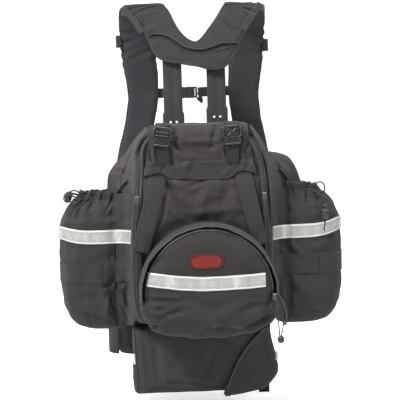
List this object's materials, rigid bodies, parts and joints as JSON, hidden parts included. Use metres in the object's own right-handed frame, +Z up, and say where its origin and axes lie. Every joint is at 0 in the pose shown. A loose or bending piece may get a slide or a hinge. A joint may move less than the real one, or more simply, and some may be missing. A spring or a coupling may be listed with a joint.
{
  "type": "fire line backpack",
  "caption": "Soft load-bearing backpack with padded shoulder yoke, hip belt, buckled hood, domed zip pocket, drawcord side pouches and a belt-level pouch under the bag.",
  "frame": {"origin": "centre of the lumbar pad's flat face that rests on the wearer's back", "axes": "+Z up along the wearer's spine, +X to the right seen from outside, +Y out of the body-side face towards the wearer, outer face towards -Y"},
  "size_m": [0.5422, 0.4847, 0.7785],
  "materials": {
    "bag_fabric": "coated plain-weave pack cloth, warm charcoal",
    "pouch_fabric": "coated plain-weave pack cloth, charcoal",
    "shelter_fabric": "coated plain-weave pack cloth, dark charcoal",
    "pad_fabric": "padded cloth over foam, edge bound",
    "webbing": "woven nylon webbing",
    "reflective_tape": "silver retro-reflective fabric tape",
    "buckle_plastic": "moulded acetal, glossy black",
    "frame_plastic": "polyethylene stiffener sheet",
    "cord": "braided cord",
    "zip_metal": "black enamelled die casting",
    "patch": "woven patch, muted red"
  },
  "bodies": {
    "pack": {"back_strap_left": "pad_fabric", "back_strap_right": "pad_fabric", "compression_strap_left": "webbing", "compression_strap_right": "webbing", "cord_lock_left": "buckle_plastic", "cord_lock_right": "buckle_plastic", "drawcord_left": "cord", "drawcord_right": "cord", "frame_sheet": "frame_plastic", "front_pocket": "bag_fabric", "front_tape": "reflective_tape", "label_patch": "patch", "ladder_lock_left": "buckle_plastic", "ladder_lock_right": "buckle_plastic", "lower_shoulder_strap_left": "webbing", "lower_shoulder_strap_right": "webbing", "lumbar_pad": "pad_fabric", "main_bag": "bag_fabric", "pocket_zip_flap": "bag_fabric", "shelter_pouch": "shelter_fabric", "shoulder_pad_left": "pad_fabric", "shoulder_pad_right": "pad_fabric", "side_pouch_left": "pouch_fabric", "side_pouch_right": "pouch_fabric", "side_tape_left": "reflective_tape", "side_tape_right": "reflective_tape", "side_webbing_left": "webbing", "side_webbing_right": "webbing", "side_wing_left": "bag_fabric", "side_wing_right": "bag_fabric", "sternum_buckle_female": "buckle_plastic", "sternum_strap_left": "webbing", "yoke": "pad_fabric", "zip_band_left": "webbing", "zip_band_right": "webbing"},
    "hood": {"lid_hood": "bag_fabric", "lid_strap_left": "webbing", "lid_strap_right": "webbing", "lid_buckle_male_left": "buckle_plastic", "lid_buckle_male_right": "buckle_plastic"},
    "hood_clip_left": {"lid_buckle_female_left": "buckle_plastic", "lid_anchor_strap_left": "webbing"},
    "hood_clip_right": {"lid_buckle_female_right": "buckle_plastic", "lid_anchor_strap_right": "webbing"},
    "sternum_clip": {"sternum_buckle_male": "buckle_plastic", "sternum_strap_right": "webbing"},
    "hip_left": {"hip_belt_left": "pad_fabric", "belt_webbing_left": "webbing", "waist_buckle_male": "buckle_plastic"},
    "hip_right": {"hip_belt_right": "pad_fabric", "belt_webbing_right": "webbing", "waist_buckle_female": "buckle_plastic", "belt_tail": "webbing"},
    "zip_slider_left": {"zip_slider_left": "zip_metal"},
    "zip_slider_right": {"zip_slider_right": "zip_metal"},
    "pocket_slider": {"pocket_zip_slider": "zip_metal"},
    "pocket_cord": {"pocket_pull_cord": "cord"},
    "shelter_flap": {"shelter_flap": "shelter_fabric"},
    "lock_button_left": {"cord_lock_button_left": "buckle_plastic"},
    "lock_button_right": {"cord_lock_button_right": "buckle_plastic"}
  },
  "joints": [
    {"name": "hood_hinge", "type": "hinge", "parent": "pack", "child": "hood", "pos_m": [0, -0.036, 0.3965], "axis": [-1, 0, 0], "range_deg": [0, 70]},
    {"name": "hood_clip_left_release", "type": "slide", "parent": "hood", "child": "hood_clip_left", "axis": [0, 0, 1], "range_m": [0, 0.026]},
    {"name": "hood_clip_right_release", "type": "slide", "parent": "hood", "child": "hood_clip_right", "axis": [0, 0, 1], "range_m": [0, 0.026]},
    {"name": "sternum_release", "type": "slide", "parent": "pack", "child": "sternum_clip", "axis": [1, 0, 0], "range_m": [0, 0.028]},
    {"name": "hip_belt_left_swing", "type": "hinge", "parent": "pack", "child": "hip_left", "pos_m": [-0.1125, -0.012, -0.005], "axis": [0, 0, 1], "range_deg": [-15, 12]},
    {"name": "hip_belt_right_swing", "type": "hinge", "parent": "pack", "child": "hip_right", "pos_m": [0.1125, -0.012, -0.005], "axis": [0, 0, 1], "range_deg": [-12, 15]},
    {"name": "zip_left_travel", "type": "slide", "parent": "pack", "child": "zip_slider_left", "axis": [0.0499, 0, 0.9988], "range_m": [-0.105, 0.045]},
    {"name": "zip_right_travel", "type": "slide", "parent": "pack", "child": "zip_slider_right", "axis": [-0.0499, 0, 0.9988], "range_m": [-0.065, 0.045]},
    {"name": "pocket_zip_travel", "type": "hinge", "parent": "pack", "child": "pocket_slider", "pos_m": [0.009, -0.2385, 0.087], "axis": [0, -1, 0], "range_deg": [0, 168]},
    {"name": "pocket_cord_hang", "type": "hinge", "parent": "pocket_slider", "child": "pocket_cord", "pos_m": [0.12771, -0.25, 0.0807], "axis": [0, -1, 0], "range_deg": [-168, 0]},
    {"name": "shelter_flap_swing", "type": "hinge", "parent": "pack", "child": "shelter_flap", "pos_m": [0.1412, -0.034, -0.055], "axis": [0, 0, 1], "range_deg": [0, 95]},
    {"name": "lock_button_left_press", "type": "slide", "parent": "pack", "child": "lock_button_left", "axis": [-0.1836, 0.8637, -0.4695], "range_m": [0, 0.0032], "stiffness_N_per_m": 300, "springref_m": -0.001},
    {"name": "lock_button_right_press", "type": "slide", "parent": "pack", "child": "lock_button_right", "axis": [0, 0, -1], "range_m": [0, 0.0032], "stiffness_N_per_m": 300, "springref_m": -0.001}
  ],
  "couplings": [
    {"joint": "pocket_cord_hang", "follows": "pocket_zip_travel", "ratio": -1}
  ]
}
